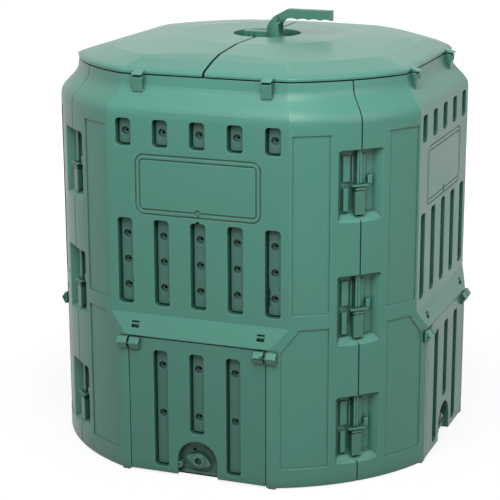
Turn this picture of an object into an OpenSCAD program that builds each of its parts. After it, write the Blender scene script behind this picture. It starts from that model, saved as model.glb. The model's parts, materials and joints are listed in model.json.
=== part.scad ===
// Thermal garden composter: four clipped-together double walls, four bottom doors and a two-part lid.
// Every wall is the same panel, turned in quarter turns. The origin is at ground level, on the middle axis.

/* [Body] */
// Distance from the middle axis to the flat outer face of a wall
side_flat = 460; // [440:5:480]
// How far the rounded corners stand outside the flat faces
corner_out = 52; // [46:1:58]
// How far the door faces stand outside the wall faces
door_step = 17; // [14:1:19]
// Height of the wall up to its rim
rim_z = 953; // [930:1:980]
// Height of the shoulder under the rim
shoulder_h = 91; // [80:1:100]
// How far the shoulder draws in the flat faces at the rim
neck_in = 42; // [36:1:48]
// How far the shoulder draws in the rounded corners at the rim
neck_in_corner = 47; // [40:1:52]
// Thickness of the moulded skins
skin = 4; // [3.5:0.25:4.5]
// Depth of the space from the outer face to the inner wall
wall_depth = 24; // [22:1:26]
// Gap between two neighbouring walls at a corner seam
seam_gap = 0.8; // [0.5:0.1:1.2]
// Clearance between pieces that are seated on each other
fit_gap = 0.4; // [0.3:0.05:0.6]
// Width of the groove along a corner seam
seam_w = 3; // [2:0.25:4]
// Height of the small feet beside the doors
foot_h = 3; // [2:0.5:4]

/* [Vent slots] */
// Distance between neighbouring slots
slot_pitch = 92; // [86:1:95]
// Width of a slot
slot_w = 38; // [34:1:42]
// Corner radius of a slot
slot_r = 9; // [7:0.5:11]
// Height of the short upper slots
short_slot_h = 64; // [56:1:70]
// Distance from the shoulder down to the middle of the short slots
short_slot_drop = 36; // [34:1:40]
// Height of the raised pads behind the slots
pad_h = 8; // [6:0.5:9]
// Gap between a pad and the edge of its slot
pad_gap = 3.5; // [2.5:0.25:5]
// Radius of the round air cups in the pads
vent_r = 9.5; // [8:0.5:11]

/* [Label plate and panels] */
// Width of the label plate's outer groove
plate_w = 311; // [285:1:320]
// Height of the label plate's outer groove
plate_h = 143; // [130:1:150]
// Distance from the shoulder down to the middle of the label plate
plate_drop = 156; // [150:1:162]
// Depth of the grooves and of the recessed corner panels
trim_depth = 2.5; // [2:0.25:3]
// Width of an upper corner panel, along the arc
trim_panel_w = 88; // [78:1:92]

/* [Doors] */
// Margin from a door to the side edge of the flat face
door_margin = 14; // [12:0.5:18]
// Height of the top edge of a door
door_top = 340; // [330:1:348]
// Height of the lower edge of a door above the ground
door_foot = 6; // [5:0.5:8]
// Thickness of a door
door_t = 26; // [25:0.5:27]
// Gap round a door
door_gap = 1.5; // [1.25:0.25:2]
// Height of the sloping apron over a door
apron_h = 54; // [50:1:58]
// Width of the knob's arched recess
arch_w = 102; // [96:1:108]
// Height of the knob above the ground
knob_z = 43; // [42:1:45]
// Radius of the hinge pins of doors and lid
pin_r = 2.5; // [2:0.25:2.75]
// Radius of a knob's spindle
knob_stem_r = 7; // [6:0.5:8]
// Radial clearance of a pin or spindle in its bore
pin_fit = 0.05; // [0.03:0.01:0.09]

/* [Corner latches] */
// Width of a latch pocket at the outer face
pocket_w = 119; // [112:1:124]
// Height of a latch pocket
pocket_h = 168; // [160:1:174]
// Depth of a latch pocket
pocket_depth = 24; // [22:1:26]
// Height of the lowest pocket's lower edge
pocket_z = 50; // [46:1:56]
// Distance from the shoulder down to the highest pocket
pocket_drop = 58; // [52:1:64]
// Height of a latch key's block
key_h = 54; // [48:1:58]
// Width of a latch key's block
key_w = 25; // [23:0.5:27]

/* [Lid and handle] */
// Height of the lid's flat top above the rim
lid_rise = 52; // [48:1:56]
// Radius of the flat top of the lid
crown_r = 207; // [190:1:225]
// Width of the lid's sloping edge
slope_w = 77; // [70:1:84]
// Height of the gap between rim and lid
lid_gap = 2.5; // [2:0.25:3]
// Gap between the two halves of the lid
split_gap = 6; // [5:0.5:7]
// Radius of the round handle recess
recess_r = 84; // [80:1:90]
// Depth of the round handle recess
recess_depth = 33; // [30:1:36]
// Height of the handle's top above the lid
handle_rise = 61; // [56:1:66]
// Reach of the handle from the middle
handle_reach = 170; // [160:1:180]
// Distance of a rim lug from the middle of its wall
lug_u = 158; // [145:1:165]
// Width of a rim lug
lug_w = 25; // [22:1:28]

/* [Hidden] */
SIDES = ["front", "right", "back", "left"];
CORNERS = ["front_right", "back_right", "back_left", "front_left"];
LEVELS = ["low", "middle", "high"];
$fn = 64;

GREEN = [0.33, 0.56, 0.49];
DARK_GREEN = [0.24, 0.45, 0.38];
INNER_GREEN = [0.28, 0.40, 0.36];
far = 4 * side_flat;
eps = 0.01;
quarter_turn = 90;

corner_r = side_flat + corner_out;
door_flat = side_flat + door_step;
shoulder_z = rim_z - shoulder_h;
rim_flat = side_flat - neck_in;
rim_r = corner_r - neck_in_corner;
apron_z = door_top + door_gap;
apron_lip = door_step / 6;
apron_top = door_top + apron_h;
inner_flat = side_flat - wall_depth;
inner_r = corner_r - pocket_depth - skin;
seam_half = seam_gap / 2;
door_w = 2 * (sqrt(corner_r * corner_r - door_flat * door_flat) - door_margin);
door_half = door_w / 2 + door_gap;
margin = slot_r + skin;

// Share of the shoulder's draw-in at height t, from 0 at the shoulder to 1 at the rim.
function smooth(x) = let (c = max(0, min(1, x))) c * c * (3 - 2 * c);
function shoulder(t) = 0.75 * smooth((t - 0.12) / 0.66) + 0.25 * t;
neck_steps = 12;
function neck(base, draw, inset) = [for (i = [0 : neck_steps]) let (t = i / neck_steps)
    [base - draw * shoulder(t) - inset, shoulder_z + t * (rim_z - shoulder_z)]];

// Outline of the flat face: door face, sloping apron, wall face and shoulder.
function flat_outline(inset) = concat(
    [[0, foot_h], [door_flat - inset, foot_h], [door_flat - inset, apron_z],
     [door_flat + apron_lip - inset, apron_z + apron_lip], [side_flat - inset, apron_top]],
    neck(side_flat, neck_in, inset),
    [[0, rim_z]]);
function corner_outline(inset) = concat(
    [[0, foot_h], [corner_r - inset, foot_h]], neck(corner_r, neck_in_corner, inset), [[0, rim_z]]);

// Extrudes an outline of (distance outwards, height) along the wall.
module along_wall() {
    rotate([90, 0, -90]) translate([0, 0, -far / 2]) linear_extrude(far) children();
}

// A solid of the body's section: a round tube cut flat on the front.
module body_solid(inset = 0) {
    intersection() {
        rotate_extrude($fn = 128) polygon(corner_outline(inset));
        along_wall() polygon(flat_outline(inset));
    }
}

// The space inside the inner walls' outer faces.
module core(inset = 0) {
    low = shoulder_z - wall_depth;
    high = rim_z - wall_depth / 2;
    intersection() {
        translate([0, 0, -skin]) rotate_extrude($fn = 128) polygon([
            [0, 0], [inner_r - inset, 0], [inner_r - inset, low + skin],
            [inner_r - neck_in_corner + skin - inset, high + skin],
            [inner_r - neck_in_corner + skin - inset, far], [0, far]]);
        along_wall() polygon([
            [-skin, -skin], [inner_flat - inset, -skin], [inner_flat - inset, low],
            [inner_flat - neck_in - inset, high], [inner_flat - neck_in - inset, far], [-skin, far]]);
    }
}

// The quarter of space in front, from corner seam to corner seam, drawn in by gap.
module quarter(gap) {
    rotate([0, 0, -135]) translate([gap, gap, -far]) cube([far, far, 2 * far]);
}

// Turns its children from the front to a side.
module on_side(k) { rotate([0, 0, quarter_turn * k]) children(); }
// Turns its children so that +X runs outwards at the front-right corner.
module at_corner() { rotate([0, 0, -quarter_turn / 2]) children(); }
module both_corners() {
    at_corner() children();
    mirror([1, 0, 0]) at_corner() children();
}

module rounded(w, h, r) {
    square([w - 2 * r, h], center = true);
    square([w, h - 2 * r], center = true);
    for (x = [-1, 1], y = [-1, 1])
        translate([x * (w / 2 - r), y * (h / 2 - r)]) circle(r, $fn = 32);
}

// A block of rounded section that runs inwards from the distance outer by depth.
module block(u, z, w, h, r, outer, depth) {
    translate([u, -outer, z]) rotate([-90, 0, 0]) linear_extrude(depth) rounded(w, h, r);
}

short_slot_z = shoulder_z - short_slot_drop;
plate_z = shoulder_z - plate_drop;
long_slot_z = apron_top + 1.6 * margin;
long_slot_h = plate_z - plate_h / 2 - 0.9 * margin - long_slot_z;
long_mid = long_slot_z + long_slot_h / 2;
vent_pitch = 0.3 * long_slot_h;
notch_r = slot_r / 2;
module wall_slots(grow, outer, depth) {
    for (i = [-2 : 2]) {
        block(i * slot_pitch, short_slot_z, slot_w + 2 * grow, short_slot_h + 2 * grow,
            slot_r + grow, outer, depth);
        block(i * slot_pitch, long_mid, slot_w + 2 * grow, long_slot_h + 2 * grow,
            slot_r + grow, outer, depth);
    }
    translate([0, -outer, long_slot_z + long_slot_h]) rotate([-90, 0, 0])
        cylinder(r = notch_r + grow, h = depth, $fn = 32);
}

// Raised pads of the inner wall, seen through the slots, each with its air cups.
module wall_pads() {
    pad_w = slot_w - 2 * pad_gap;
    difference() {
        for (i = [-2 : 2]) {
            block(i * slot_pitch, short_slot_z, pad_w, short_slot_h - 2 * pad_gap, slot_r - pad_gap / 2,
                inner_flat + pad_h, pad_h + 1);
            block(i * slot_pitch, long_mid, pad_w, long_slot_h - 2 * pad_gap, slot_r - pad_gap / 2,
                inner_flat + pad_h, pad_h + 1);
        }
        wall_cups();
    }
}
module wall_cups() {
    for (i = [-2 : 2]) {
        cup(i * slot_pitch, short_slot_z, inner_flat + pad_h);
        for (j = [-1 : 1]) cup(i * slot_pitch, long_mid + j * vent_pitch, inner_flat + pad_h);
    }
}

// An air cup, sunk inwards from the distance outer, with a small hole through its floor.
cup_depth = pad_h + skin / 4;
module cup(u, z, outer) {
    translate([u, -outer, z]) rotate([-90, 0, 0]) {
        translate([0, 0, -skin]) cylinder(r = vent_r, h = cup_depth + skin, $fn = 24);
        cylinder(r = vent_r / 3, h = far / 20, $fn = 16);
    }
}

// Latch pocket in corner axes: a tapering well whose lower lip slopes out.
pocket_pitch = (shoulder_z - pocket_drop - pocket_h - pocket_z) / 2;
pocket_floor = corner_r - pocket_depth;
pocket_draft = pocket_w / 6;
lip_h = pocket_h / 8.4;
lip_out = pocket_depth / 4;
pocket_r = 2 * slot_r;
module pocket(z, grow) {
    half = pocket_w / 2 + grow;
    out = corner_r + lip_out;
    intersection() {
        translate([0, 0, z - pocket_w]) linear_extrude(pocket_h + 2 * pocket_w) polygon([
            [out, -half - lip_out], [out, half + lip_out],
            [pocket_floor - grow, half - pocket_draft], [pocket_floor - grow, -half + pocket_draft]]);
        rotate([90, 0, 0]) translate([0, 0, -far / 2]) linear_extrude(far) polygon([
            [out, z - lip_out - grow], [pocket_floor + pocket_depth / 3, z + 0.9 * lip_h - grow],
            [pocket_floor - grow, z + lip_h - grow], [pocket_floor - grow, z + pocket_h + grow],
            [out, z + pocket_h + grow]]);
        translate([0, 0, z + pocket_h / 2]) rotate([90, 0, 90]) linear_extrude(far)
            rounded(pocket_w + 2 * grow + seam_w, pocket_h + 2 * grow + seam_w, pocket_r);
    }
}

module pockets(grow) {
    for (i = [0 : 2]) pocket(pocket_z + i * pocket_pitch, grow);
}

// Flange that a latch key slides on, on the side of a seam that side names.
head_t = skin;
stem_t = 0.75 * skin;
head_w = 1.5 * skin;
flange_out = pocket_floor + 3.5 * skin;
module flange(z, side) {
    foot = z + lip_h + skin;
    top = z + pocket_h - eps;
    for (box = [[pocket_floor - eps, flange_out, stem_t], [flange_out - head_t, flange_out, head_w]])
        translate([box[0], side > 0 ? seam_half : -box[2], foot])
            cube([box[1] - box[0], box[2] - seam_half, top - foot]);
}

// Guide pads and a catch on the pocket's floor; the key runs over the flat ones.
flat_pad_t = 1.2 * skin;
module guide(z, side) {
    foot = z + lip_h + skin;
    tall = pocket_h - lip_h - skin;
    unit = pocket_w / 12;
    if (side < 0) {
        floor_pad(-3.8 * unit, foot + 0.47 * tall, flat_pad_t, 1.8 * unit, 0.42 * tall);
        floor_pad(-1.48 * unit, foot + 0.39 * tall, flat_pad_t, skin, 0.5 * tall);
        floor_pad(-3.8 * unit, foot, 2 * skin, 1.3 * unit, 0.37 * tall);
    } else {
        floor_pad(seam_half, foot, flat_pad_t, 2 * unit, 0.9 * tall);
        floor_pad(3 * unit, foot + 0.42 * tall, 3 * skin, 0.4 * unit, 0.14 * tall);
        translate([2 * skin, 0, 0]) floor_pad(2.25 * unit, foot + 0.42 * tall, skin, unit, 0.14 * tall);
    }
}
module floor_pad(u, z, t, w, h) {
    translate([pocket_floor - eps, u, z]) cube([t, w, h]);
}

// Recessed panels of the rounded corners, cut to an even depth.
panel_from_seam = 0.64 * pocket_w;
low_panel_w = 1.3 * trim_panel_w;
low_panel_top = apron_top - skin - 1;
panel_cut_w = trim_panel_w / 2;
panel_cut_h = apron_h;
module corner_panels(side) {
    mid = panel_from_seam + trim_panel_w / 2;
    arc_panel(side * angle_of(mid), angle_of(trim_panel_w), apron_top + 0.35 * trim_panel_w,
        shoulder_z - 0.24 * trim_panel_w);
    low_mid = panel_from_seam + low_panel_w / 2;
    difference() {
        arc_panel(side * angle_of(low_mid), angle_of(low_panel_w), pocket_z, low_panel_top);
        turned(side * angle_of(panel_from_seam + low_panel_w))
            translate([0, 0, low_panel_top]) rotate([90, 0, 90]) linear_extrude(far)
                polygon([[side * panel_cut_w, -2 * panel_cut_h], [-side * 2 * panel_cut_w, panel_cut_h],
                    [side * panel_cut_w, panel_cut_h]]);
    }
}
function angle_of(arc) = arc / corner_r * 180 / PI;
module turned(a) { rotate([0, 0, a]) children(); }
module arc_panel(a, width, z0, z1) {
    turned(a) intersection() {
        translate([0, 0, z0]) difference() {
            cylinder(r = corner_r + skin, h = z1 - z0, $fn = 128);
            translate([0, 0, -skin]) cylinder(r = corner_r - trim_depth, h = z1 - z0 + 2 * skin, $fn = 128);
        }
        linear_extrude(far) polygon([[0, 0], [far * cos(width / 2), far * sin(width / 2)],
            [far * cos(width / 2), -far * sin(width / 2)]]);
    }
}

// Doorway through a wall, open at the foot.
module doorway(grow) {
    translate([-door_half - grow, -door_flat - skin, -skin])
        cube([2 * (door_half + grow), 2 * (door_flat - inner_flat), apron_z + grow + skin]);
}

// Bracket under a lid lug; it rounds off round the hinge axis.
knuckle_r = 1.8 * pin_r;
hinge_out = rim_flat + 3 * knuckle_r;
hinge_z = rim_z - 1.1 * knuckle_r;
bracket_h = 1.5 * lug_w;
bracket_out = rim_flat + lug_w / 2;
knuckle_w = 0.4 * lug_w;
slot_gap = knuckle_w / 10;
module bracket(hinged) {
    top = rim_z - 0.1 * knuckle_r;
    back = rim_flat - skin - seam_w / 2;
    for (s = [-1, 1]) translate([s * lug_u, 0, 0]) difference() {
        rotate([90, 0, -90]) translate([0, 0, -lug_w / 2]) linear_extrude(lug_w) polygon([
            [back, top], [hinge_out, top], [hinge_out + knuckle_r, hinge_z],
            [bracket_out, rim_z - bracket_h], [back, rim_z - bracket_h]]);
        if (hinged) {
            translate([-knuckle_w / 2 - slot_gap, -hinge_out - lug_w, hinge_z - 2.2 * knuckle_r])
                cube([knuckle_w + 2 * slot_gap, lug_w + 1.8 * knuckle_r, lug_w]);
            pin_bore();
        }
    }
}
module pin_bore() {
    translate([-far / 2, -hinge_out, hinge_z]) rotate([0, 90, 0]) cylinder(r = pin_r + pin_fit, h = far);
}

// Hinge block of a door; its outline is in lengths of its width.
block_w = lug_w;
door_hinge_y = door_flat + 0.28 * block_w;
door_hinge_z = door_top - 0.64 * block_w;
module hinge_block(u, outer) {
    difference() {
        translate([u - block_w / 2, 0, door_top]) rotate([90, 0, 90]) linear_extrude(block_w) polygon([
            [-outer + skin / 2, -0.04 * block_w], [-outer - 0.2 * block_w, -0.04 * block_w],
            [-outer - 0.56 * block_w, -0.56 * block_w], [-outer - 0.44 * block_w, -0.76 * block_w],
            [-outer - 0.2 * block_w, -1.2 * block_w], [-outer + skin / 2, -1.2 * block_w]]);
        translate([-far / 2, -door_hinge_y, door_hinge_z]) rotate([0, 90, 0])
            cylinder(r = pin_r + pin_fit, h = far);
    }
}
wall_block_u = door_half + door_gap + block_w / 2;
door_block_u = door_half - 3 * door_gap - block_w / 2;

// Outer skin of a wall with its slots, pockets, flanges, apron and brackets.
module wall(hinged) {
    outer = side_flat + skin;
    through = 2 * wall_depth;
    color(GREEN) {
        difference() {
            union() {
                intersection() {
                    body_solid();
                    quarter(seam_w / 2);
                }
                intersection() {
                    body_solid(seam_w);
                    quarter(seam_half);
                }
            }
            core();
            difference() {
                intersection() {
                    body_solid(skin);
                    quarter(seam_w / 2 + skin);
                    translate([-far / 2, -far / 2, foot_h + skin])
                        cube([far, far, rim_z - foot_h - 2 * skin]);
                }
                wall_slots(0.75 * skin, outer, through);
                both_corners() pockets(skin);
                doorway(skin);
            }
            wall_slots(0, outer, through);
            both_corners() pockets(0);
            doorway(0);
            both_corners() corner_panels(-1);
            plate_grooves();
            apron_windows();
        }
        for (i = [0 : 2]) {
            at_corner() {
                flange(pocket_z + i * pocket_pitch, -1);
                guide(pocket_z + i * pocket_pitch, -1);
            }
            rotate([0, 0, -quarter_turn]) at_corner() {
                flange(pocket_z + i * pocket_pitch, 1);
                guide(pocket_z + i * pocket_pitch, 1);
            }
        }
        bracket(hinged);
        for (s = [-1, 1]) {
            hinge_block(s * wall_block_u, door_flat);
            foot(s);
        }
        window_bars();
        sill();
    }
}

// Small foot under the wall, beside the door.
foot_w = slot_w / 2;
module foot(s) {
    translate([s > 0 ? door_half + skin : -door_half - skin - foot_w, -door_flat + skin / 2, 0])
        cube([foot_w, slot_w / 2, foot_h + 1]);
}

plate_in = 2.5 * skin;
groove_w = 0.75 * skin;
plate_r = 2.4 * slot_r;
module plate_grooves() {
    inner_line = [plate_w - 2 * plate_in, plate_h - 2.2 * plate_in, plate_r / 2];
    for (g = [[plate_w, plate_h, plate_r], inner_line]) {
        difference() {
            block(0, plate_z, g[0], g[1], g[2], side_flat + skin, trim_depth + skin);
            block(0, plate_z, g[0] - 2 * groove_w, g[1] - 2 * groove_w, g[2] - groove_w,
                side_flat + 2 * skin, trim_depth + 3 * skin);
        }
    }
    translate([0, -side_flat - skin, plate_z - plate_h / 2 + 1.2 * plate_in]) rotate([-90, 0, 0])
        cylinder(r = 0.9 * slot_r, h = 1.8 * skin, $fn = 32);
}

// Small windows in the apron, each with a bar across it.
window_w = slot_w / 2;
window_z = (apron_z + apron_top) / 2;
module apron_windows() {
    for (s = [-1, 1])
        block(s * lug_u, window_z, window_w, 0.84 * window_w, skin / 2, door_flat + skin, wall_depth);
}
module window_bars() {
    for (s = [-1, 1])
        translate([s * lug_u, -side_flat - door_step / 2, window_z - 0.1 * window_w])
            translate([-(window_w + skin) / 2, 0, 0]) cube([window_w + skin, 1.5 * skin, 0.3 * window_w]);
}

// Bar across the foot of the doorway, which the tongue hooks behind.
sill_top = 6 * skin;
sill_t = 2.5 * skin;
sill_out = door_flat - door_t - skin / 2;
module sill() {
    translate([-door_half - skin / 2, -sill_out, foot_h])
        cube([2 * door_half + skin, sill_t, sill_top - foot_h]);
}

// Inner wall panel with pads, air cups and the doorway.
module inner_wall() {
    color(INNER_GREEN) {
        difference() {
            intersection() {
                core(fit_gap);
                quarter(seam_w / 2);
                translate([-far / 2, -far / 2, foot_h]) cube([far, far, rim_z - foot_h - skin]);
            }
            core(fit_gap + skin);
            wall_cups();
            doorway(skin);
        }
        wall_pads();
    }
}

// Door slots: two long ones and a shorter one over the knob's arch.
door_slot_w = slot_w - skin / 2;
door_slot_low = door_foot + 1.1 * margin;
door_slot_top = door_top - 2.2 * margin;
mid_slot_low = knob_z + arch_w / 2 + 1.4 * margin;
module door_slots(grow, outer, depth) {
    slots = [[-1, door_slot_low], [1, door_slot_low], [0, mid_slot_low]];
    for (s = slots) block(s[0] * slot_pitch, (s[1] + door_slot_top) / 2, door_slot_w + 2 * grow,
        door_slot_top - s[1] + 2 * grow, slot_r + grow, outer, depth);
}
module arch(grow, depth) {
    translate([0, -door_flat - 1, knob_z]) rotate([-90, 0, 0])
        cylinder(r = arch_w / 2 + grow, h = depth + 1);
    translate([-arch_w / 2 - grow, -door_flat - 1, -skin])
        cube([arch_w + 2 * grow, depth + 1, knob_z + skin]);
}

// Outer skin of a door, with the peg at the edge of the arch.
peg_r = arch_w / 14;
module door() {
    color(DARK_GREEN) {
        difference() {
            translate([-door_w / 2, -door_flat, door_foot])
                cube([door_w, door_t - skin, door_top - door_foot]);
            difference() {
                translate([-door_w / 2 + skin, -door_flat + skin, door_foot + skin])
                    cube([door_w - 2 * skin, door_t, door_top - door_foot - 2 * skin]);
                door_slots(3 * skin / 4, door_flat + 1, door_t);
                arch(skin, door_t);
            }
            door_slots(0, door_flat + 1, door_t);
            arch(0, door_t);
        }
        translate([-arch_w / 2 + peg_r / 2, -door_flat + skin / 4, knob_z - 1.8 * peg_r])
            rotate([-90, 0, 0])
            difference() {
                cylinder(r = peg_r, h = door_flat - skin / 4 - door_floor - fit_gap, $fn = 32);
                translate([0, 0, -1]) cylinder(r = peg_r / 2, h = skin, $fn = 32);
            }
        for (s = [-1, 1]) hinge_block(s * door_block_u, door_flat);
    }
}

// Floor plate of a door, with pads in the slots, a turn mark and a ledge at its foot.
door_floor = door_flat - door_t + skin;
door_mid = (mid_slot_low + door_slot_top) / 2;
door_vent_dz = 0.3 * (door_slot_top - mid_slot_low);
module door_inner() {
    color(INNER_GREEN) difference() {
        union() {
            translate([-door_w / 2, -door_floor, door_foot]) cube([door_w, skin, door_top - door_foot]);
            door_slots(-pad_gap, door_floor + pad_h, pad_h + 1);
            translate([-arch_w / 2 + 1, -door_floor - skin, door_foot])
                cube([arch_w - 2, skin + 1, 1.8 * skin]);
            ring_boss();
        }
        for (i = [-1 : 1], j = [-1, 1])
            cup(i * slot_pitch, door_mid + j * door_vent_dz, door_floor + pad_h);
        translate([-arch_w / 7, -far / 2, knob_z + 0.225 * arch_w]) rotate([-90, 0, 0])
            cylinder(r = 0.6 * ring_r, h = far, $fn = 24);
        translate([0, -far / 2, knob_z]) rotate([-90, 0, 0]) cylinder(r = knob_stem_r + pin_fit, h = far);
        turn_mark();
    }
}
ring_r = arch_w / 14;
module ring_boss() {
    translate([-arch_w / 7, -door_floor + 1, knob_z + 0.225 * arch_w]) rotate([90, 0, 0])
        cylinder(r = ring_r, h = skin, $fn = 32);
}

// Curved groove that shows the knob's turn, in the floor of its recess.
mark_r = 0.35 * arch_w;
mark_w = 1.25 * skin;
module turn_mark() {
    translate([0, -door_floor + skin / 2, knob_z]) rotate([90, 0, 0]) intersection() {
        difference() {
            cylinder(r = mark_r + mark_w / 2, h = skin);
            translate([0, 0, -1]) cylinder(r = mark_r - mark_w / 2, h = 2 * skin);
        }
        linear_extrude(skin)
            polygon([[0, 0], [arch_w, -arch_w], [arch_w, arch_w], [0.27 * arch_w, arch_w]]);
    }
}

// Wing knob with its spindle, on the door's floor plate.
knob_r = 0.186 * arch_w;
wing_r = 0.07 * arch_w;
wing_d = 0.226 * arch_w;
wing_tilt = -13;
knob_t = door_t - 2.25 * skin;
module knob_outline() {
    phi = acos((knob_r - wing_r) / wing_d);
    near = [knob_r * cos(phi), knob_r * sin(phi)];
    tip = [wing_d + wing_r * cos(phi), wing_r * sin(phi)];
    rotate(wing_tilt) {
        circle(knob_r, $fn = 48);
        for (s = [-1, 1]) translate([s * wing_d, 0]) circle(wing_r, $fn = 32);
        polygon([[-near[0], near[1]], near, tip, [tip[0], -tip[1]], [near[0], -near[1]],
            [-near[0], -near[1]], [-tip[0], -tip[1]], [-tip[0], tip[1]]]);
    }
}
module door_knob() {
    face = door_floor + fit_gap;
    color(GREEN) translate([0, 0, knob_z]) rotate([90, 0, 0]) {
        translate([0, 0, face]) difference() {
            union() {
                translate([0, 0, skin]) linear_extrude(0.7 * knob_t - skin / 2) knob_outline();
                cylinder(r = 0.86 * knob_r, h = knob_t, $fn = 48);
            }
            translate([0, 0, knob_t / 2]) cylinder(r = 0.5 * knob_r, h = knob_t, $fn = 32);
        }
        translate([0, 0, tongue_in]) cylinder(r = knob_stem_r, h = face + 1 - tongue_in);
    }
}

// Tongue on the spindle's inner end.
tongue_t = 1.5 * skin;
tongue_out = door_flat - door_t - 3.5 * skin;
tongue_in = tongue_out - tongue_t - skin / 2;
tongue_r = 1.6 * knob_stem_r;
module door_tongue() {
    color(DARK_GREEN) translate([0, -tongue_out, knob_z]) rotate([-90, 0, 0]) difference() {
        union() {
            cylinder(r = tongue_r, h = tongue_t);
            translate([0, -0.7 * tongue_r, 0]) cube([2.9 * tongue_r, 1.4 * tongue_r, tongue_t]);
        }
        translate([0, 0, -1]) cylinder(r = knob_stem_r + pin_fit, h = 2 * tongue_t);
    }
}

module door_pins() {
    color(DARK_GREEN) for (s = [-1, 1])
        translate([s * (wall_block_u + door_block_u) / 2, -door_hinge_y, door_hinge_z]) rotate([0, 90, 0])
            cylinder(r = pin_r, h = 1.8 * block_w, center = true);
}

// Latch key: a channel that clips over both flanges, with two collars over its block.
key_out = flange_out + 1.4 * skin;
key_back = pocket_floor + flat_pad_t + 3 * fit_gap;
module latch(i) {
    z = pocket_z + i * pocket_pitch;
    low = z + 0.8 * lip_h;
    top = low + key_h;
    clear = 0.15 * skin;
    color(DARK_GREEN) difference() {
        union() {
            rotate([90, 0, 0]) translate([0, 0, -key_w / 2]) linear_extrude(key_w) polygon([
                [key_back, low + 0.35 * lip_h], [key_out, low], [key_out, top], [key_back, top]]);
            translate([key_back, -0.35 * key_w, top - 1])
                cube([0.9 * (key_out - key_back), 0.7 * key_w, 3 * skin + 1]);
            translate([key_back, -0.55 * key_w, top + skin])
                cube([key_out - key_back + skin / 4, 1.1 * key_w, skin]);
            translate([key_back, -0.85 * key_w, top + 3 * skin])
                cube([key_out - key_back + skin / 2, 1.7 * key_w, skin]);
        }
        translate([key_back - skin, -stem_t - clear, z])
            cube([flange_out - key_back + clear, 2 * (stem_t + clear), pocket_h]);
        translate([flange_out - head_t - clear, -head_w - clear, z])
            cube([head_t + 2 * clear, 2 * (head_w + clear), pocket_h]);
    }
}

// Lid: sloping facets on the four sides, a shallow cone on top.
lid_z = rim_z + lid_gap;
crown_z = rim_z + lid_rise;
lid_h = crown_z - lid_z;
skirt_h = 0.13 * lid_h;
fold_h = 0.23 * lid_h;
fold_w = 0.24 * lid_h;
slope_drop = 0.33 * lid_h;
cone_drop = lid_h / 120;
function lid_flat(inset) = [
    [rim_flat + 1 - inset, lid_z - far], [rim_flat + 1 - inset, skirt_h + lid_z - inset],
    [rim_flat - 0.42 * fold_w - inset, lid_z + fold_h - inset],
    [rim_flat - fold_w - inset, lid_z + 1.26 * fold_h - inset],
    [rim_flat - 0.72 * slope_w - inset, crown_z - 1.27 * slope_drop - inset],
    [rim_flat - 1.32 * slope_w - inset, crown_z - 0.6 * slope_drop - inset],
    [rim_flat - 2.2 * slope_w - inset, crown_z + 0.36 * slope_drop - inset], [0, crown_z + lid_h - inset]];
function lid_round(inset) = [
    [0, lid_z - skin * 5], [rim_r + 1 - inset, lid_z - skin * 5],
    [rim_r + 1 - inset, skirt_h + lid_z - inset], [rim_r - 0.42 * fold_w - inset, lid_z + fold_h - inset],
    [rim_r - fold_w - inset, lid_z + 1.26 * fold_h - inset],
    [rim_r - slope_w - inset, crown_z - slope_drop - inset], [crown_r, crown_z - cone_drop - inset],
    [0, crown_z - cone_drop - inset]];

module lid_solid(inset, bottom) {
    intersection() {
        rotate_extrude($fn = 128) polygon(lid_round(inset));
        along_wall() polygon(lid_both(inset));
        on_side(1) along_wall() polygon(lid_both(inset));
        translate([-far / 2, -far / 2, bottom]) cube([far, far, far]);
    }
}
// The flat outline, mirrored so that it closes on both sides.
function lid_both(inset) = let (p = [for (q = lid_flat(inset)) if (q[0] > 0) q])
    concat(p, [for (i = [len(p) - 1 : -1 : 0]) [-p[i][0], p[i][1]]]);

// side is -1 for the left half and 1 for the right half.
module half_space(side, gap) {
    translate([side > 0 ? gap / 2 : -far - gap / 2, -far / 2, -far / 2]) cube([far, far, 2 * far]);
}

beak_z = lid_z - 0.4 * lid_gap;
beak_out = hinge_out + 1.6 * knuckle_r;
module beak(u, hinged) {
    difference() {
        union() {
            translate([u - lug_w / 2, 0, 0]) rotate([90, 0, 90]) linear_extrude(lug_w) polygon([
                [-rim_flat + skin / 2, beak_z + lid_gap / 2], [-rim_flat - 1, beak_z], [-beak_out, beak_z],
                [-beak_out, beak_z + 0.6 * knuckle_r], [-rim_flat + 2 * skin, lid_z + fold_h],
                [-rim_flat + skin / 2, lid_inner_z + 1.25 * skin]]);
            if (hinged) {
                translate([u - knuckle_w / 2, -hinge_out, hinge_z]) rotate([0, 90, 0])
                    cylinder(r = knuckle_r, h = knuckle_w);
                translate([u - knuckle_w / 2, -hinge_out - knuckle_r, hinge_z])
                    cube([knuckle_w, 2 * knuckle_r, beak_z - hinge_z + 1]);
            }
        }
        if (hinged) pin_bore();
    }
}

recess_floor = crown_z - recess_depth;
spindle_r = recess_r / 10.5;
module lid(side) {
    color(GREEN) {
        difference() {
            lid_solid(0, lid_z);
            difference() {
                lid_solid(skin, lid_z - 2 * skin);
                translate([0, 0, recess_floor - skin]) cylinder(r = recess_r + skin, h = lid_h, $fn = 96);
            }
            translate([0, 0, side < 0 ? lid_z - lid_h : recess_floor])
                cylinder(r = recess_r, h = 3 * lid_h, $fn = 96);
            half_space(-side, -split_gap);
            if (side > 0) spindle_bore();
        }
        if (side > 0) cup_floor();
        on_side(side > 0 ? 1 : 3) for (s = [-1, 1]) beak(s * lug_u, true);
        beak(side * lug_u, false);
        on_side(2) beak(-side * lug_u, false);
    }
}
module spindle_bore() {
    translate([0, 0, lid_z - lid_h]) cylinder(r = spindle_r + pin_fit, h = 2 * lid_h);
}

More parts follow.
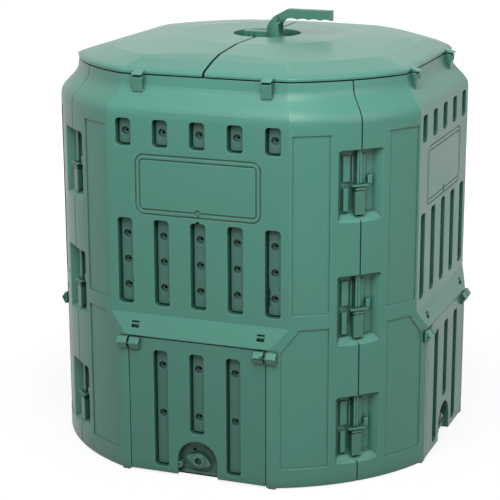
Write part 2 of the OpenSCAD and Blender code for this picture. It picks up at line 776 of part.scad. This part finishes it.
// Lower ring and floor of the handle recess, all on the right half of the lid.
module cup_floor() {
    difference() {
        translate([0, 0, recess_floor - skin])
            cylinder(r = recess_r - skin / 2, h = skin + recess_depth / 2, $fn = 96);
        translate([0, 0, recess_floor]) cylinder(r = recess_r - 5 * skin / 4, h = lid_h, $fn = 96);
        spindle_bore();
    }
}

lid_inner_z = lid_z + 0.4 * skin;
lid_inner_in = skin + fit_gap;
module lid_inner(side) {
    color(INNER_GREEN) difference() {
        lid_solid(lid_inner_in, lid_inner_z);
        translate([-far / 2, -far / 2, lid_inner_z + skin]) cube([far, far, far]);
        half_space(-side, -split_gap);
        translate([0, 0, lid_z - lid_h])
            cylinder(r = side < 0 ? recess_r + skin : 1.5 * spindle_r, h = 3 * lid_h, $fn = 96);
    }
}

module lid_pins(side) {
    color(DARK_GREEN) on_side(side > 0 ? 1 : 3) for (s = [-1, 1])
        translate([s * lug_u, -hinge_out, hinge_z]) rotate([0, 90, 0])
            cylinder(r = pin_r, h = 0.96 * lug_w, center = true);
}

// Lever handle: a bar in the recess, a round column and an arm with four finger hollows.
handle_z = crown_z + handle_rise;
arm_t = 0.4 * handle_rise;
arm_w = 0.32 * handle_rise;
bar_w = 1.35 * arm_w;
column_r = 1.2 * arm_w;
hollows = 4;
hollow_pitch = handle_reach / 5.75;
hollow_r = 1.2 * hollow_pitch;
module lid_handle() {
    foot = recess_floor + fit_gap;
    bar_top = crown_z - recess_depth / 5;
    reach = handle_reach;
    under = handle_z - 1.03 * arm_t;
    back = [[0.02 * reach, handle_z - 1.9 * arm_t], [0.07 * reach, handle_z - 1.35 * arm_t],
        [0.16 * reach, handle_z - 0.64 * arm_t]];
    color(DARK_GREEN) difference() {
        union() {
            profile(bar_w) polygon([[-0.34 * reach, foot], [-0.34 * reach, bar_top], [column_r, bar_top],
                [column_r, foot]]);
            profile(arm_w) polygon(concat([[0.02 * reach, foot]], back, [[0.33 * reach, handle_z],
                [reach, handle_z], [reach, under],
                [2.15 * column_r, under], [2 * column_r, under - arm_t / 6],
                [2 * column_r, foot]]));
            intersection() {
                translate([column_r, 0, foot])
                    cylinder(r = column_r, h = handle_rise + recess_depth, $fn = 48);
                profile(far) polygon(concat([[-1, foot - 1], [-1, handle_z - 2.2 * arm_t]], back,
                    [[0.19 * reach, handle_z - 1.4 * arm_t], [2 * column_r + 1, under - arm_t / 8],
                     [2 * column_r + 1, foot - 1]]));
            }
        }
        for (i = [0 : hollows - 1])
            translate([reach - (i + 0.5) * hollow_pitch, arm_w, handle_z - 0.92 * arm_t - hollow_r])
                rotate([90, 0, 0]) cylinder(r = hollow_r, h = 2 * arm_w, $fn = 48);
        for (x = [-0.3, -0.2]) translate([x * reach, -bar_w, foot - 1])
            cube([0.045 * reach, 2 * bar_w, 0.7 * recess_depth]);
    }
}
// Extrudes an outline of (x, z) to the width w, on the middle plane.
module profile(w) {
    translate([0, w / 2, 0]) rotate([90, 0, 0]) linear_extrude(w) children();
}

lock_t = 2 * skin;
lock_low = lid_inner_z - lock_t - 1.5 * skin;
module handle_spindle() {
    low = lock_low - 1.5 * skin;
    color(INNER_GREEN) translate([0, 0, low]) cylinder(r = spindle_r, h = recess_floor + fit_gap - low);
}

module handle_lock_arm() {
    color(DARK_GREEN) difference() {
        union() {
            translate([0, 0, lock_low]) cylinder(r = 1.75 * spindle_r, h = lock_t);
            translate([split_gap / 2, 0, lock_low]) cube([1.2 * spindle_r, 1.25 * recess_r, lock_t]);
        }
        translate([0, 0, lock_low - 1]) cylinder(r = spindle_r + pin_fit, h = 2 * lock_t);
    }
}

for (k = [0 : 3]) {
    on_side(k) wall(k % 2 == 1);
    on_side(k) inner_wall();
    on_side(k) door();
    on_side(k) door_inner();
    on_side(k) door_knob();
    on_side(k) door_tongue();
    on_side(k) door_pins();
    for (i = [0 : 2])
        on_side(k) at_corner() latch(i);
}
lid(-1);  // lid_left
lid(1);  // lid_right
lid_inner(-1);  // lid_inner_left
lid_inner(1);  // lid_inner_right
lid_pins(-1);  // lid_pins_left
lid_pins(1);  // lid_pins_right
lid_handle();
handle_spindle();
handle_lock_arm();
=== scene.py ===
import json
import math

import bmesh
import bpy
from mathutils import Matrix, Vector
from mathutils.bvhtree import BVHTree


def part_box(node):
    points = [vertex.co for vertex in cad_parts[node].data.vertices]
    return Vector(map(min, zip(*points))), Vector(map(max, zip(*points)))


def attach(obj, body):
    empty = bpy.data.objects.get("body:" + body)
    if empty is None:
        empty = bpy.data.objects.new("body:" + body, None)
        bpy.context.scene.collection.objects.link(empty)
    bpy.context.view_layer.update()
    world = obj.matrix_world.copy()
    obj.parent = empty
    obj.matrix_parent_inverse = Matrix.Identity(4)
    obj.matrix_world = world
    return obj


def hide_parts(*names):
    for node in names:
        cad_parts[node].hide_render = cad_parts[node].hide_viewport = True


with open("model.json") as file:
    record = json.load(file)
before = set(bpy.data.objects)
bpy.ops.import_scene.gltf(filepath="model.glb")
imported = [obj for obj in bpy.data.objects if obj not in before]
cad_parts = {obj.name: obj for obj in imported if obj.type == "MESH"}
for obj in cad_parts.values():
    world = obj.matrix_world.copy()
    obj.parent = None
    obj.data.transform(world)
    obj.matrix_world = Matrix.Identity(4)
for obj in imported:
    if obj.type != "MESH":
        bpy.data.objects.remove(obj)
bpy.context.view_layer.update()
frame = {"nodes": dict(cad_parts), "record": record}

# Camera, matched to the photograph: angles, then distance and target in metres
AZIMUTH = math.radians(20.36)
ELEVATION = math.radians(15.66)
DISTANCE = 4.3475
LENS = 121.38
TARGET = Vector((0.0, 0.0, 0.391))
SHIFT_X = -0.0344
SHIFT_Y = 0.0413

# Quarter turns carry the front wall to each side
SIDES = ("front", "right", "back", "left")

# Places of the vent slots, label plate, apron, doors, latch pockets and lid pins, in metres
SLOT_PITCH = 0.092
SHORT_SLOT_Z = 0.826
LONG_SLOT_Z = 0.519
PLATE_Z = 0.706
APRON_Z = 0.367
DOOR_SLOT_Z = 0.17
DOOR_ARCH_Z = 0.043
AIR_HOLE_X = -0.0145
POCKET_Z = 0.05
POCKET_PITCH = 0.293
POCKET_CUTS = (0.012, 0.05, 0.09, 0.13, 0.15)
SKIN_MIDDLE = 0.443
LID_PIN_X = 0.4315

# Corners of the hinge blocks beside each door
BLOCK_X = (0.14405, 0.16905, 0.17505, 0.20005)
BLOCK_Z = (0.31, 0.339)

# Small windows of the apron
WINDOW_X = 0.158
WINDOW_Z = APRON_Z
WINDOW_SIZE = (0.025, 0.022)
WINDOW_BACK_Y = -0.4585
WINDOW_RIM_Y = -0.4635
WINDOW_WALL = 0.0015
WINDOW_HOLLOW = 0.75
WINDOW_ROLL = 0.001

# Profile of the ring round a knob's screw hole: radius, and distance out of the knob's face
RING_PROFILE = (
    (0.0125, -0.001),
    (0.0125, 0.0006),
    (0.0118, 0.0014),
    (0.0098, 0.0014),
    (0.009, 0.0006),
    (0.009, -0.001),
)

# The handle's bar, whose top stands above the rim of the recess
BAR_END_X = 0.0065
BAR_HALF_WIDTH = 0.0165
BAR_TOP = (0.995, 1.0)
BAR_LIFT = 0.0105
COLUMN_X = 0.022

# Where the floor starts to look white, a little inside the body's outer face: at a flat side and a corner
FOOT_FLAT = 0.452
FOOT_CORNER = 0.498

# Floor: its half size, its grey, and how white the camera sees it near the body and further out
FLOOR_HALF = 30.0
FLOOR_GREY = 0.16
GLOW_REACH = (0.6, 1.6)
GLOW_LEVEL = (0.86, 1.0)

# Colours mixed into the plastic's own: painted shade in crevices and dried soil along the ground
CREVICE_SHADE = (0.008, 0.03, 0.025, 1.0)
SOIL = (0.12, 0.10, 0.07, 1.0)
WHITE = (1.0, 1.0, 1.0, 1.0)

# The plastic's grain per metre, its depth in metres, and how far its colour varies
GRAIN_SCALE = 700.0
GRAIN_DEPTH = 0.0004
MOTTLE = 0.1

# Scales of the mottling, the patches of painted edge highlight and the spots of soil, per metre
CLOUD_SCALE = 4.5
PATCH_SCALE = 38.0
SPOT_SCALE = 55.0
# Reach in metres of the painted edge highlight, of the painted shade in a slot, of the painted shade
# along a step, and of the soil
HIGHLIGHT_REACH = 0.004
SLOT_REACH = 0.045
STEP_REACH = 0.007
SOIL_TOP = 0.09
PLASTIC_IOR = 1.5

# Places of the two colour inputs and the colour output of a Mix node
MIX_FIRST = 6
MIX_SECOND = 7
MIX_RESULT = 2


def place_camera():
    back = Vector((
        math.sin(AZIMUTH) * math.cos(ELEVATION),
        -math.cos(AZIMUTH) * math.cos(ELEVATION),
        math.sin(ELEVATION),
    ))
    data = bpy.data.cameras.new("photo_camera")
    data.lens = LENS
    data.sensor_width = 36.0
    data.shift_x = SHIFT_X
    data.shift_y = SHIFT_Y
    camera = bpy.data.objects.new("photo_camera", data)
    camera.location = TARGET + back * DISTANCE
    camera.rotation_euler = back.to_track_quat("Z", "Y").to_euler()
    bpy.context.scene.collection.objects.link(camera)
    bpy.context.scene.camera = camera


# Shader helpers
class Graph:
    """A node tree with short calls for adding nodes and links."""

    def __init__(self, tree):
        self.tree = tree
        self.nodes = tree.nodes
        self.links = tree.links

    def add(self, kind, **settings):
        node = self.nodes.new("ShaderNode" + kind)
        for name, value in settings.items():
            setattr(node, name, value)
        return node

    def feed(self, node, socket, source):
        """Link an output to a socket, or set the socket's own value."""
        if isinstance(source, bpy.types.NodeSocket):
            self.links.new(source, node.inputs[socket])
        else:
            node.inputs[socket].default_value = source

    def math(self, operation, *sources, clamp=False):
        node = self.add("Math", operation=operation, use_clamp=clamp)
        for place, source in enumerate(sources):
            self.feed(node, place, source)
        return node.outputs[0]

    def noise(self, vector, scale, detail=2.0, roughness=0.5):
        node = self.add("TexNoise")
        self.feed(node, "Vector", vector)
        self.feed(node, "Scale", scale)
        self.feed(node, "Detail", detail)
        self.feed(node, "Roughness", roughness)
        return node.outputs["Fac"]

    def ramp(self, value, low, high):
        """0 at low and 1 at high, held outside."""
        node = self.add("MapRange")
        self.feed(node, "Value", value)
        self.feed(node, "From Min", low)
        self.feed(node, "From Max", high)
        return node.outputs["Result"]

    def mix(self, factor, first, second):
        node = self.add("Mix", data_type="RGBA")
        self.feed(node, "Factor", factor)
        self.feed(node, MIX_FIRST, first)
        self.feed(node, MIX_SECOND, second)
        return node.outputs[MIX_RESULT]


def socket(tree, name, in_out, kind, value=None):
    made = tree.interface.new_socket(name=name, in_out=in_out, socket_type="NodeSocket" + kind)
    if value is not None:
        made.default_value = value


def moulded_surface_group():
    """Colour, roughness and height of a moulded skin: grain, mottling, painted highlights on edges,
    painted shade in crevices, and soil.
    """
    tree = bpy.data.node_groups.new("moulded_surface", "ShaderNodeTree")
    socket(tree, "Colour", "INPUT", "Color", (0.1, 0.3, 0.2, 1.0))
    socket(tree, "Highlight colour", "INPUT", "Color", (0.2, 0.4, 0.3, 1.0))
    socket(tree, "Roughness", "INPUT", "Float", 0.5)
    socket(tree, "Grain size", "INPUT", "Float", GRAIN_SCALE)
    socket(tree, "Mottle", "INPUT", "Float", 0.06)
    socket(tree, "Highlight", "INPUT", "Float", 0.5)
    socket(tree, "Splash", "INPUT", "Float", 0.3)
    socket(tree, "Crevice shade", "INPUT", "Float", 0.6)
    socket(tree, "Colour", "OUTPUT", "Color")
    socket(tree, "Roughness", "OUTPUT", "Float")
    socket(tree, "Height", "OUTPUT", "Float")
    g = Graph(tree)
    given = g.nodes.new("NodeGroupInput").outputs
    place = g.add("TexCoord").outputs["Object"]

    grain = g.noise(place, given["Grain size"], 2.0)
    cloud = g.noise(place, CLOUD_SCALE, 5.0, 0.6)
    centred = g.math("SUBTRACT", cloud, 0.5)
    tone = g.add("HueSaturation")
    g.feed(tone, "Value", g.math("MULTIPLY_ADD", centred, given["Mottle"], 1.0))
    g.feed(tone, "Color", given["Colour"])

    # Painted highlight: edges are lightened in patches where the rounded normal leaves the flat one
    soft = g.add("Bevel", samples=4)
    g.feed(soft, "Radius", HIGHLIGHT_REACH)
    across = g.add("VectorMath", operation="DOT_PRODUCT")
    g.feed(across, 0, soft.outputs["Normal"])
    g.feed(across, 1, g.add("NewGeometry").outputs["Normal"])
    edge = g.ramp(across.outputs["Value"], 1.0, 0.75)
    patch = g.noise(place, PATCH_SCALE, 4.0)
    painted_highlight = g.math("MULTIPLY", g.math("MULTIPLY", edge, patch), given["Highlight"])
    painted = g.mix(painted_highlight, tone.outputs["Color"], given["Highlight colour"])

    # Painted shade from ambient occlusion darkens the inside of slots and pockets, and draws a fine dark
    # line at the foot of every step
    nook = g.add("AmbientOcclusion", samples=6)
    g.feed(nook, "Distance", SLOT_REACH)
    closed = g.ramp(nook.outputs["AO"], 0.85, 0.25)
    step = g.add("AmbientOcclusion", samples=6)
    g.feed(step, "Distance", STEP_REACH)
    lined = g.ramp(step.outputs["AO"], 0.96, 0.72)
    painted_shade = g.math("MULTIPLY", g.math("MAXIMUM", closed, lined), given["Crevice shade"])
    shaded = g.mix(painted_shade, painted, CREVICE_SHADE)

    # A faint splash line of dried soil along the ground
    height = g.add("SeparateXYZ")
    g.feed(height, 0, place)
    low = g.ramp(height.outputs["Z"], SOIL_TOP, 0.0)
    spots = g.ramp(g.noise(place, SPOT_SCALE, 5.0, 0.65), 0.48, 0.72)
    soiled = g.math("MULTIPLY", g.math("MULTIPLY", low, spots), given["Splash"])
    out = g.nodes.new("NodeGroupOutput")
    g.feed(out, "Colour", g.mix(soiled, shaded, SOIL))
    rough = g.math("MULTIPLY_ADD", centred, 0.16, given["Roughness"])
    g.feed(out, "Roughness", g.math("MULTIPLY_ADD", soiled, 0.4, rough))
    g.feed(out, "Height", grain)
    return tree


def srgb(r, g, b):
    def linear(c):
        c = c / 255.0
        return c / 12.92 if c <= 0.04045 else ((c + 0.055) / 1.055) ** 2.4
    return (linear(r), linear(g), linear(b), 1.0)


SURFACE = moulded_surface_group()
# Lighter green painted along the edges as a highlight
EDGE_HIGHLIGHT = srgb(134, 182, 166)


def plastic(name, colour, roughness, grain=0.12, edge_highlight=0.9, splash=0.3, edge=0.0025, crevice_shade=0.7):
    """A satin plastic whose shading rounds every corner by the radius of edge."""
    mat = bpy.data.materials.new(name)
    mat.use_nodes = True
    g = Graph(mat.node_tree)
    skin = g.nodes["Principled BSDF"]
    surface = g.add("Group", node_tree=SURFACE)
    g.feed(surface, "Colour", colour)
    g.feed(surface, "Highlight colour", EDGE_HIGHLIGHT)
    g.feed(surface, "Roughness", roughness)
    g.feed(surface, "Grain size", GRAIN_SCALE)
    g.feed(surface, "Mottle", MOTTLE)
    g.feed(surface, "Highlight", edge_highlight)
    g.feed(surface, "Splash", splash)
    g.feed(surface, "Crevice shade", crevice_shade)
    g.feed(skin, "Base Color", surface.outputs["Colour"])
    g.feed(skin, "Roughness", surface.outputs["Roughness"])
    rounded = g.add("Bevel", samples=6)
    g.feed(rounded, "Radius", edge)
    bump = g.add("Bump")
    g.feed(bump, "Strength", grain)
    g.feed(bump, "Distance", GRAIN_DEPTH)
    g.feed(bump, "Height", surface.outputs["Height"])
    g.feed(bump, "Normal", rounded.outputs["Normal"])
    g.feed(skin, "Normal", bump.outputs["Normal"])
    skin.inputs["IOR"].default_value = PLASTIC_IOR
    return mat


MATERIALS = {
    "wall_green": plastic("wall_green", srgb(74, 137, 120), 0.36),
    "door_green": plastic("door_green", srgb(70, 130, 114), 0.38),
    "lid_green": plastic("lid_green", srgb(76, 138, 122), 0.33, grain=0.03, splash=0.0),
    "fitting_green": plastic("fitting_green", srgb(66, 122, 106), 0.36, edge=0.0015),
    "inner_green": plastic("inner_green", srgb(72, 119, 107), 0.5, edge_highlight=0.5, edge=0.001, crevice_shade=0.5),
}

SLOT_OF = {part["node"]: part["material_slot"] for part in frame["record"]["subparts"]}
BODY_OF = {
    node: body
    for body, nodes in frame["record"]["behaviour"]["bodies"].items()
    for node in nodes
}


def dress_cad_nodes():
    for name, obj in frame["nodes"].items():
        obj.data.materials.clear()
        obj.data.materials.append(MATERIALS[SLOT_OF[name]])


# Rounded mouldings: each one is a copy of a node's mesh with its outer edges rolled over.
# Cutting planes run through most holes in flat faces, because joining the facets can close a hole that
# no plane crosses.
def across_x(*places):
    return [((x, 0.0, 0.0), (1.0, 0.0, 0.0)) for x in places]


def across_y(*places):
    return [((0.0, y, 0.0), (0.0, 1.0, 0.0)) for y in places]


def across_z(*places):
    return [((0.0, 0.0, z), (0.0, 0.0, 1.0)) for z in places]


SLOT_CUTS = across_x(*(SLOT_PITCH * i for i in range(-2, 3)))
BLOCK_CUTS = across_x(*BLOCK_X) + across_x(*(-x for x in BLOCK_X)) + across_z(*BLOCK_Z)
WALL_CUTS = (
    SLOT_CUTS
    + BLOCK_CUTS
    + across_x(SKIN_MIDDLE)
    + across_y(-SKIN_MIDDLE)
    + across_z(SHORT_SLOT_Z, PLATE_Z, LONG_SLOT_Z, APRON_Z, DOOR_SLOT_Z)
    + across_z(*(POCKET_Z + POCKET_PITCH * i + dz for i in range(3) for dz in POCKET_CUTS))
)
DOOR_CUTS = SLOT_CUTS + BLOCK_CUTS + across_z(DOOR_SLOT_Z, DOOR_ARCH_Z)
DOOR_INNER_CUTS = DOOR_CUTS + across_x(AIR_HOLE_X)
LID_CUTS = across_x(0.0, 0.03, -0.03, LID_PIN_X, -LID_PIN_X) + across_y(0.0)
HANDLE_CUTS = across_x(0.0, COLUMN_X) + across_y(0.0)

# Gaps in metres: between points that are one, off a cutting plane, and of a ridge that the rolls close
WELD_GAP = 0.00002
CUT_GAP = 0.000001
RIDGE_GAP = 0.0002
# Facets that bend less than this are joined, and outer edges that bend more than the next are rolled
FLAT_BEND = math.radians(0.6)
CORNER_BEND = math.radians(20.0)
# Long shallow folds, and the creases round the lid's crown, keep a crisp line
FOLD_BEND = math.radians(5.5)
FOLD_LENGTH = 0.05
CREASE_BEND = math.radians(1.2)
CREASE_LENGTH = 0.015
CREASE_RISE = 0.1
CREASE_LEAN = 0.5
CROWN_EDGE = 0.12
# A rolled corner this far off the CAD surface is laid back on it
STRAY_GAP = 0.0012
FACE_AREA_WEIGHT = 80
# Widths of the rolled edges
WALL_ROLL = 0.001
DOOR_ROLL = 0.0008
KNOB_ROLL = 0.0012
LATCH_ROLL = 0.001
LID_ROLL = 0.0012
HANDLE_ROLL = 0.0014


def is_crease(edge):
    """An edge that runs round the lid between its crown and its slopes."""
    run = edge.verts[1].co - edge.verts[0].co
    middle = (edge.verts[0].co + edge.verts[1].co) / 2.0
    reach = middle.xy.length
    if run.length < CREASE_LENGTH or abs(run.z) > CREASE_RISE * run.length or reach < CROWN_EDGE:
        return False
    return abs(run.xy.dot(middle.xy)) < CREASE_LEAN * run.length * reach


def join_flats(mesh, cuts, quarter, folds, creases):
    """Weld the split corners, cut through the openings, and join the flat facets between the cuts.

    The outer edges get their weight for rolling, and the lines that stay crisp are marked.
    """
    turn = Matrix.Rotation(math.radians(90.0 * quarter), 3, "Z")
    work = bmesh.new()
    work.from_mesh(mesh)
    bmesh.ops.remove_doubles(work, verts=work.verts, dist=WELD_GAP)
    for point, normal in cuts:
        made = bmesh.ops.bisect_plane(
            work,
            geom=work.verts[:] + work.edges[:] + work.faces[:],
            plane_co=turn @ Vector(point),
            plane_no=turn @ Vector(normal),
            dist=CUT_GAP,
        )
        for part in made["geom_cut"]:
            if isinstance(part, bmesh.types.BMEdge):
                part.seam = True
    bmesh.ops.dissolve_limit(
        work,
        angle_limit=FLAT_BEND,
        use_dissolve_boundaries=False,
        verts=work.verts,
        edges=work.edges,
        delimit={"SEAM"},
    )
    outer = work.edges.layers.float.new("bevel_weight_edge")
    for edge in work.edges:
        bend = edge.calc_face_angle_signed(0.0)
        if bend > CORNER_BEND:
            edge[outer] = 1.0
        elif bend < -CORNER_BEND:
            edge.smooth = False
        elif folds and abs(bend) > FOLD_BEND and edge.calc_length() > FOLD_LENGTH:
            edge.smooth = False
        elif creases and abs(bend) > CREASE_BEND and is_crease(edge):
            edge.smooth = False
    for face in work.faces:
        face.smooth = True
    work.to_mesh(mesh)
    work.free()


def roll_edges(piece, width, segments):
    bevel = piece.modifiers.new("rolled_edges", "BEVEL")
    bevel.width = width
    bevel.segments = segments
    bevel.limit_method = "WEIGHT"
    bevel.use_clamp_overlap = False
    closed = piece.modifiers.new("closed_ridges", "WELD")
    closed.merge_threshold = RIDGE_GAP
    smooth = piece.modifiers.new("flat_shading", "WEIGHTED_NORMAL")
    smooth.keep_sharp = True
    smooth.weight = FACE_AREA_WEIGHT


def settle(piece, node):
    """Bake the rolled edges, and lay back on the CAD surface any corner that the roll threw off it."""
    shape = frame["nodes"][node].data
    surface = BVHTree.FromPolygons(
        [vertex.co for vertex in shape.vertices],
        [list(face.vertices) for face in shape.polygons],
    )
    graph = bpy.context.evaluated_depsgraph_get()
    baked = bpy.data.meshes.new_from_object(
        piece.evaluated_get(graph), preserve_all_data_layers=True, depsgraph=graph)
    piece.modifiers.clear()
    piece.data = baked
    for vertex in baked.vertices:
        place, _, _, gap = surface.find_nearest(vertex.co)
        if gap > STRAY_GAP:
            vertex.co = place


def moulding(node, width, cuts=(), quarter=0, segments=2, folds=False, creases=False):
    """Show a node as a copy whose outer edges are rolled by the given width."""
    mesh = frame["nodes"][node].data.copy()
    mesh.name = node + "_moulding"
    join_flats(mesh, cuts, quarter, folds, creases)
    piece = bpy.data.objects.new(node + "_moulding", mesh)
    bpy.context.scene.collection.objects.link(piece)
    roll_edges(piece, width, segments)
    settle(piece, node)
    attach(piece, BODY_OF[node])
    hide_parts(node)
    return piece


def lift_bar(mesh):
    """Stand the top of the handle's bar a little above the rim of its recess."""
    for vertex in mesh.vertices:
        place = vertex.co
        on_top = BAR_TOP[0] < place.z < BAR_TOP[1]
        if on_top and place.x < BAR_END_X and abs(place.y) < BAR_HALF_WIDTH:
            place.z += BAR_LIFT


def mould_walls_and_doors():
    for quarter, side in enumerate(SIDES):
        moulding("wall_" + side, WALL_ROLL, WALL_CUTS, quarter, folds=True)
        moulding("inner_wall_" + side, WALL_ROLL, WALL_CUTS, quarter)
        moulding("door_" + side, DOOR_ROLL, DOOR_CUTS, quarter)
        moulding("door_inner_" + side, DOOR_ROLL, DOOR_INNER_CUTS, quarter)
        moulding("door_knob_" + side, KNOB_ROLL)


def mould_fittings():
    for node in frame["nodes"]:
        if node.startswith("latch_"):
            moulding(node, LATCH_ROLL)
    for node in ("lid_left", "lid_right"):
        moulding(node, LID_ROLL, LID_CUTS, folds=True, creases=True)
    handle = moulding("lid_handle", HANDLE_ROLL, HANDLE_CUTS, segments=3)
    lift_bar(handle.data)


def add_piece(name, mesh, quarter, body, slot, material=None):
    """Put a piece modelled on the front wall's side onto the side that quarter turns to."""
    mesh.transform(Matrix.Rotation(math.radians(90.0 * quarter), 4, "Z"))
    mesh.materials.append(material or MATERIALS[slot])
    piece = bpy.data.objects.new(name, mesh)
    bpy.context.scene.collection.objects.link(piece)
    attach(piece, body)


def window_tray(x):
    """Shallow tray behind a window, open towards the outside."""
    work = bmesh.new()
    bmesh.ops.create_cube(work, size=1.0)
    depth = WINDOW_BACK_Y - WINDOW_RIM_Y
    for vertex in work.verts:
        vertex.co.x = x + vertex.co.x * WINDOW_SIZE[0]
        vertex.co.y = WINDOW_RIM_Y + (vertex.co.y + 0.5) * depth
        vertex.co.z = WINDOW_Z + vertex.co.z * WINDOW_SIZE[1]
    work.normal_update()
    mouth = [face for face in work.faces if face.normal.y < -0.9]
    bmesh.ops.inset_region(work, faces=mouth, thickness=WINDOW_WALL, depth=0.0)
    for vertex in mouth[0].verts:
        vertex.co.y += WINDOW_HOLLOW * depth
    bmesh.ops.bevel(work, geom=mouth[0].edges[:], offset=WINDOW_ROLL, segments=2, affect="EDGES")
    mesh = bpy.data.meshes.new("window_tray")
    work.to_mesh(mesh)
    work.free()
    return mesh


def back_windows():
    # Painted light: the trays' green is lighter than the wall's to lift the shade inside them, and they
    # get no painted crevice shade
    lightened_green = plastic("window_lightened_green", srgb(80, 146, 128), 0.36, splash=0.0, crevice_shade=0.0)
    for quarter, side in enumerate(SIDES):
        for hand, x in (("left", -WINDOW_X), ("right", WINDOW_X)):
            name = "window_tray_%s_%s" % (side, hand)
            add_piece(name, window_tray(x), quarter, "bin", "wall_green", lightened_green)


def turned_mesh(name, profile, centre, steps=40):
    """Turn a profile of (radius, distance outwards) about the front wall's outward axis."""
    work = bmesh.new()
    rings = []
    for radius, out in profile:
        ring = []
        for i in range(steps):
            angle = 2.0 * math.pi * i / steps
            ring.append(work.verts.new((
                centre[0] + radius * math.cos(angle),
                centre[1] - out,
                centre[2] + radius * math.sin(angle),
            )))
        rings.append(ring)
    for low, high in zip(rings, rings[1:] + rings[:1]):
        for i in range(steps):
            j = (i + 1) % steps
            face = work.faces.new((low[i], low[j], high[j], high[i]))
            face.smooth = True
    bmesh.ops.recalc_face_normals(work, faces=work.faces)
    mesh = bpy.data.meshes.new(name)
    work.to_mesh(mesh)
    work.free()
    return mesh


def cap_knobs():
    """A raised ring round the screw hole in the middle of each door knob."""
    face_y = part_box("door_knob_front")[0][1]
    centre = (0.0, face_y, DOOR_ARCH_Z)
    for quarter, side in enumerate(SIDES):
        ring = turned_mesh("knob_ring", RING_PROFILE, centre)
        add_piece("knob_ring_" + side, ring, quarter, "knob_" + side, "fitting_green")


def build_stage():
    """Floor that takes the object's shadow and looks near white to the camera outside its footprint."""
    mesh = bpy.data.meshes.new("floor")
    half = FLOOR_HALF
    corners = [(-half, -half, 0.0), (half, -half, 0.0), (half, half, 0.0), (-half, half, 0.0)]
    mesh.from_pydata(corners, [], [(0, 1, 2, 3)])
    floor = bpy.data.objects.new("floor", mesh)
    bpy.context.scene.collection.objects.link(floor)
    mat = bpy.data.materials.new("floor_white")
    mat.use_nodes = True
    g = Graph(mat.node_tree)
    g.nodes.clear()
    matt = g.add("BsdfDiffuse")
    g.feed(matt, "Color", (FLOOR_GREY, FLOOR_GREY, FLOOR_GREY, 1.0))
    here = g.add("TexCoord").outputs["Object"]
    place = g.add("SeparateXYZ")
    g.feed(place, 0, here)
    across = g.math("ABSOLUTE", place.outputs["X"])
    along = g.math("ABSOLUTE", place.outputs["Y"])
    reach = g.add("VectorMath", operation="LENGTH")
    g.feed(reach, 0, here)
    past_flat = g.math("GREATER_THAN", g.math("MAXIMUM", across, along), FOOT_FLAT)
    past_corner = g.math("GREATER_THAN", reach.outputs["Value"], FOOT_CORNER)
    outside = g.math("MAXIMUM", past_flat, past_corner)
    path = g.add("LightPath").outputs
    seen = g.math("MAXIMUM", path["Is Camera Ray"], path["Is Glossy Ray"])
    glow = g.add("Emission")
    white = g.add("MapRange")
    g.feed(white, "Value", reach.outputs["Value"])
    g.feed(white, "From Min", GLOW_REACH[0])
    g.feed(white, "From Max", GLOW_REACH[1])
    g.feed(white, "To Min", GLOW_LEVEL[0])
    g.feed(white, "To Max", GLOW_LEVEL[1])
    shown = g.math("MULTIPLY", seen, outside)
    g.feed(glow, "Strength", g.math("MULTIPLY", shown, white.outputs["Result"]))
    both = g.add("AddShader")
    g.feed(both, 0, matt.outputs[0])
    g.feed(both, 1, glow.outputs[0])
    out = g.add("OutputMaterial")
    g.feed(out, "Surface", both.outputs[0])
    mesh.materials.append(mat)


def light_world(fill):
    """White to the camera and to reflections, and a weak fill light for everything else."""
    world = bpy.data.worlds.new("studio")
    bpy.context.scene.world = world
    world.use_nodes = True
    g = Graph(world.node_tree)
    g.nodes.clear()
    path = g.add("LightPath").outputs
    seen = g.math("MAXIMUM", path["Is Camera Ray"], path["Is Glossy Ray"])
    sky = g.add("Background")
    g.feed(sky, "Color", WHITE)
    g.feed(sky, "Strength", g.math("MULTIPLY_ADD", seen, 1.0 - fill, fill))
    out = g.add("OutputWorld")
    g.feed(out, "Surface", sky.outputs[0])


def softbox(name, place, aim, size, power):
    data = bpy.data.lights.new(name, "AREA")
    data.shape = "RECTANGLE"
    data.size = size[0]
    data.size_y = size[1]
    data.energy = power
    lamp = bpy.data.objects.new(name, data)
    lamp.location = place
    lamp.rotation_euler = (Vector(place) - Vector(aim)).to_track_quat("Z", "Y").to_euler()
    bpy.context.scene.collection.objects.link(lamp)
    return lamp


def light_studio():
    light_world(0.25)
    middle = (0.0, 0.0, 0.6)
    softbox("front_light", (0.5, -1.9, 2.6), middle, (1.8, 1.8), 68.0)
    softbox("side_light", (3.2, -1.2, 2.4), middle, (2.4, 2.4), 24.0)
    behind = softbox("back_light", (-1.4, 3.2, 1.5), middle, (2.4, 2.4), 50.0)
    behind.visible_glossy = False
    bpy.context.scene.view_settings.view_transform = "Standard"


place_camera()
dress_cad_nodes()
mould_walls_and_doors()
mould_fittings()
back_windows()
cap_knobs()
build_stage()
light_studio()
